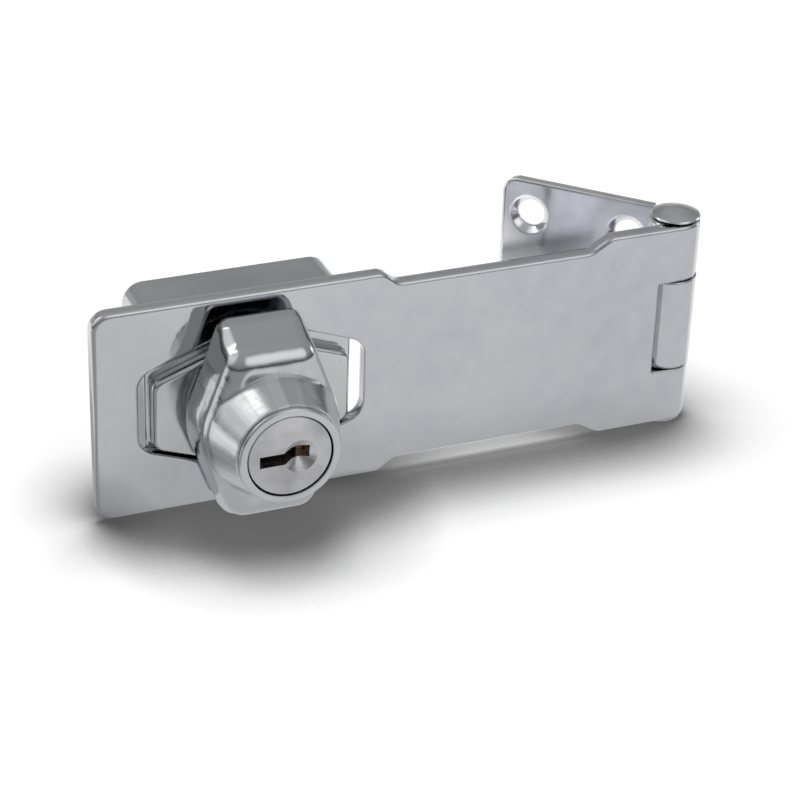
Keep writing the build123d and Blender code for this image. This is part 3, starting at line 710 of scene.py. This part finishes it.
# %% [markdown]
# The room is the world shader. Chrome needs something dark to mirror, or it turns into plain
# grey, so the room is mid grey overhead and nearly black at the horizon. That dark band draws the
# dark lines along the rounded edges. A level belongs to the height of a direction, which is 1
# straight up.

# %% Room: levels of grey
SKY_STEPS = ((0.0, 0.05), (0.05, 0.06), (0.16, 0.22), (0.45, 0.36), (0.85, 0.42), (1.0, 0.46))
world = bpy.data.worlds.new("studio")
bpy.context.scene.world = world
world.use_nodes = True
room = world.node_tree
room.nodes.clear()
direction = add(room, "TexCoord").outputs["Generated"]
parts = add(room, "SeparateXYZ", {"Vector": direction}).outputs
ramp = add(room, "ValToRGB", {"Fac": parts["Z"]})
set_steps(ramp.color_ramp, SKY_STEPS)
print("room has", len(ramp.color_ramp.elements), "levels of grey")

# %% [markdown]
# Two soft windows stand in the room: a broad one high on the left, which lights the cone and the
# knob's ridge, and one behind the camera's right shoulder, which draws the pale line across the
# knob's crest. A low glow behind gives the strap's rim and the pin's head their pale upper edge.
# All are drawn from the direction alone, so they can be as soft as daylight. A window fades from
# its core to its rim, both in degrees from its middle. The camera sees white instead of the room.

# %% Room: windows
LEFT_WINDOW = {"towards": away(104, 40), "rim": 36, "core": 12, "strength": 0.55}
FRONT_WINDOW = {"towards": away(-25, 36), "rim": 30, "core": 3, "strength": 0.72}
BACK_GLOW = 0.34
BACK_GLOW_HEIGHT = (0.34, 0.14)
BACK_GLOW_DEPTH = (-0.1, 0.4)
extra = 0.0
for window in (LEFT_WINDOW, FRONT_WINDOW):
    facing = combine(room, "DOT_PRODUCT", direction, window["towards"])
    rim, core = (math.cos(math.radians(window[edge])) for edge in ("rim", "core"))
    light = remap(room, facing, rim, core, high=window["strength"], interpolation_type="SMOOTHSTEP")
    extra = calculate(room, "ADD", extra, light)
low = remap(room, parts["Z"], *BACK_GLOW_HEIGHT, high=BACK_GLOW)
behind = remap(room, parts["Y"], *BACK_GLOW_DEPTH)
extra = calculate(room, "MULTIPLY_ADD", low, behind, extra)
windows = add(room, "CombineXYZ", {"X": extra, "Y": extra, "Z": extra}).outputs[0]
lit = combine(room, "ADD", ramp.outputs["Color"], windows)
shown = add(room, "Background", {"Color": lit, "Strength": 1}).outputs[0]
white = add(room, "Background", {"Color": (1, 1, 1, 1), "Strength": 1}).outputs[0]
by_camera = add(room, "LightPath").outputs["Is Camera Ray"]
mixed = add(room, "MixShader", {0: by_camera, 1: shown, 2: white}).outputs[0]
add(room, "OutputWorld", {"Surface": mixed})
print("room has two windows and a low glow behind")

# %% [markdown]
# Three soft lamps finish the studio. A strip high on the left, behind the knob, draws the white
# line down its ridge. A broad overhead lamp, a little behind, lights the floor and throws the
# shadow to the front. It is kept out of the reflections, so that the metal stays grey on top. A
# weak lamp low on the right lifts the knob's far side. They are never in the picture themselves.

# %% Lamps
def place_lamp(name, direction, distance, width, height, power, mirrored=True):
    """A rectangular lamp that faces the hasp from this direction."""
    data = bpy.data.lights.new(name, "AREA")
    data.shape = "RECTANGLE"
    data.size = width
    data.size_y = height
    data.energy = power
    lamp = bpy.data.objects.new(name, data)
    lamp.location = LOOK_AT + distance * direction
    lamp.rotation_euler = direction.to_track_quat("Z", "Y").to_euler()
    lamp.visible_camera = False
    lamp.visible_glossy = mirrored
    bpy.context.scene.collection.objects.link(lamp)
    print(name, "is", distance, "m away and gives", power, "W")


place_lamp("strip_left", away(124, 48), distance=0.9, width=0.08, height=0.6, power=0.36)
place_lamp(
    "overhead", away(-165, 79), distance=1.1, width=0.45, height=0.45, power=7.8, mirrored=False,
)
place_lamp("right_low", away(-95, 12), distance=1.0, width=0.3, height=0.3, power=0.4)

# %% [markdown]
# The picture is taken with the Standard view transform, which shows a colour as it is written.

# %% Picture settings
bpy.context.scene.view_settings.view_transform = "Standard"
